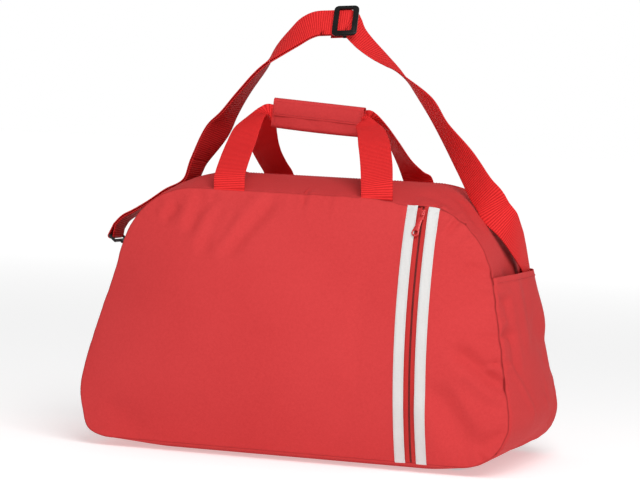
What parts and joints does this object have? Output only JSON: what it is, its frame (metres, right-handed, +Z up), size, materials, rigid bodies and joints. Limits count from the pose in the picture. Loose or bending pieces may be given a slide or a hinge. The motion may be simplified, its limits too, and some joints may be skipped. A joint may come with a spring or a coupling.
{
  "type": "sports holdall",
  "caption": "Soft D-shaped sports holdall with a zipped top, a striped zipped front pocket, an end slip pocket, wrapped carry handles and a clip-on shoulder strap.",
  "frame": {"origin": "on the floor under the middle of the bag, on its flat underside", "axes": "+Z up, the striped pocket's front faces -Y, and +X runs to the end with the slip pocket"},
  "size_m": [0.5634, 0.3537, 0.5462],
  "materials": {
    "polyester": "coated polyester, matt",
    "webbing": "ribbed polypropylene webbing",
    "ribbon": "plain woven ribbon",
    "zip_tape": "woven tape",
    "zip_coil": "nylon coil",
    "painted_metal": "gloss paint",
    "black_plastic": "moulded",
    "black_metal": "satin black",
    "lining": "thin lining cloth",
    "board": "stiff sheet"
  },
  "bodies": {
    "bag": {"bottom_panel": "polyester", "left_end_panel": "polyester", "right_end_panel": "polyester", "right_end_pocket": "polyester", "left_shoulder_front": "polyester", "left_shoulder_back": "polyester", "right_shoulder_front": "polyester", "right_shoulder_back": "polyester", "top_strip_front": "polyester", "top_strip_back": "polyester", "front_panel_left": "polyester", "front_panel_right": "polyester", "back_panel": "polyester", "front_handle_left_leg": "webbing", "front_handle_right_leg": "webbing", "back_handle_left_leg": "webbing", "back_handle_right_leg": "webbing", "left_ring_tab": "webbing", "right_ring_tab": "webbing", "strap_left_loop": "webbing", "strap_right_end": "webbing", "stripe_left": "ribbon", "stripe_right": "ribbon", "main_zip_tail_left": "zip_tape", "main_zip_tail_right": "zip_tape", "pocket_zip_tape_left": "zip_tape", "pocket_zip_tape_right": "zip_tape", "main_zip_tail_coil_left": "zip_coil", "main_zip_tail_coil_right": "zip_coil", "pocket_zip_coil": "zip_coil", "left_ring": "black_metal", "right_ring": "black_metal", "left_hook": "black_metal", "right_hook": "black_metal", "left_hook_swivel": "black_metal", "right_hook_swivel": "black_metal", "pocket_lining": "lining", "base_board": "board"},
    "flap_front": {"top_flap_front": "polyester", "main_zip_tape_front": "zip_tape", "main_zip_coil_front": "zip_coil"},
    "flap_back": {"top_flap_back": "polyester", "main_zip_tape_back": "zip_tape", "main_zip_coil_back": "zip_coil"},
    "main_slider": {"main_zip_slider": "painted_metal"},
    "main_pull": {"main_zip_pull": "painted_metal"},
    "pocket_slider": {"pocket_zip_slider": "painted_metal"},
    "pocket_pull": {"pocket_zip_pull": "painted_metal"},
    "grips": {"front_handle_grip": "webbing", "back_handle_grip": "webbing", "handle_wrap": "polyester"},
    "wrap_closure": {"wrap_flap": "polyester"},
    "strap": {"strap_arch": "webbing", "strap_return": "webbing"},
    "adjuster": {"strap_adjuster": "black_plastic"},
    "left_gate": {"left_hook_gate": "black_metal"},
    "right_gate": {"right_hook_gate": "black_metal"}
  },
  "joints": [
    {"name": "main_zip", "type": "slide", "parent": "bag", "child": "main_slider", "axis": [1, 0, 0], "range_m": [0, 0.234]},
    {"name": "flap_front_fold", "type": "hinge", "parent": "bag", "child": "flap_front", "pos_m": [0, -0.07, 0.32735], "axis": [1, 0, 0], "range_deg": [-70, 0]},
    {"name": "flap_back_fold", "type": "hinge", "parent": "bag", "child": "flap_back", "pos_m": [0, 0.07, 0.32735], "axis": [1, 0, 0], "range_deg": [0, 70]},
    {"name": "main_zip_pull_turn", "type": "hinge", "parent": "main_slider", "child": "main_pull", "pos_m": [-0.117, 0, 0.3358], "axis": [0, 1, 0], "range_deg": [0, 150]},
    {"name": "pocket_zip", "type": "hinge", "parent": "bag", "child": "pocket_slider", "pos_m": [0.147, 0.1734, 0.16219], "axis": [1, 0, 0], "range_deg": [0, 42]},
    {"name": "pocket_zip_pull_turn", "type": "hinge", "parent": "pocket_slider", "child": "pocket_pull", "pos_m": [0.147, -0.14648, 0.30473], "axis": [0.9781, -0.0846, -0.1899], "range_deg": [-150, 0]},
    {"name": "handle_drop", "type": "slide", "parent": "bag", "child": "grips", "axis": [0, 0, 1], "range_m": [-0.035, 0], "deforming": ["front_handle_left_leg", "front_handle_right_leg", "back_handle_left_leg", "back_handle_right_leg"]},
    {"name": "wrap_flap_open", "type": "hinge", "parent": "grips", "child": "wrap_closure", "pos_m": [-0.02268, -0.0068, 0.41997], "axis": [-0.9981, 0, 0.061], "range_deg": [0, 110]},
    {"name": "strap_swing", "type": "hinge", "parent": "bag", "child": "strap", "pos_m": [0, 0, 0.335], "axis": [1, 0, 0], "range_deg": [-45, 14], "deforming": ["strap_left_loop", "strap_right_end"]},
    {"name": "strap_adjust", "type": "slide", "parent": "strap", "child": "adjuster", "axis": [0.9976, 0, 0.0698], "range_m": [-0.016, 0], "deforming": ["strap_return"]},
    {"name": "left_gate_press", "type": "hinge", "parent": "bag", "child": "left_gate", "pos_m": [-0.2645, 0, 0.23698], "axis": [0, 1, 0], "range_deg": [0, 25], "stiffness_Nm_per_rad": 0.01, "springref_deg": -11.46},
    {"name": "right_gate_press", "type": "hinge", "parent": "bag", "child": "right_gate", "pos_m": [0.24177, 0, 0.2105], "axis": [0, -1, 0], "range_deg": [0, 25], "stiffness_Nm_per_rad": 0.01, "springref_deg": -11.46}
  ],
  "couplings": [
    {"joint": "flap_front_fold", "follows": "main_zip", "rad_per_m": -5.22},
    {"joint": "flap_back_fold", "follows": "main_zip", "rad_per_m": 5.22}
  ]
}
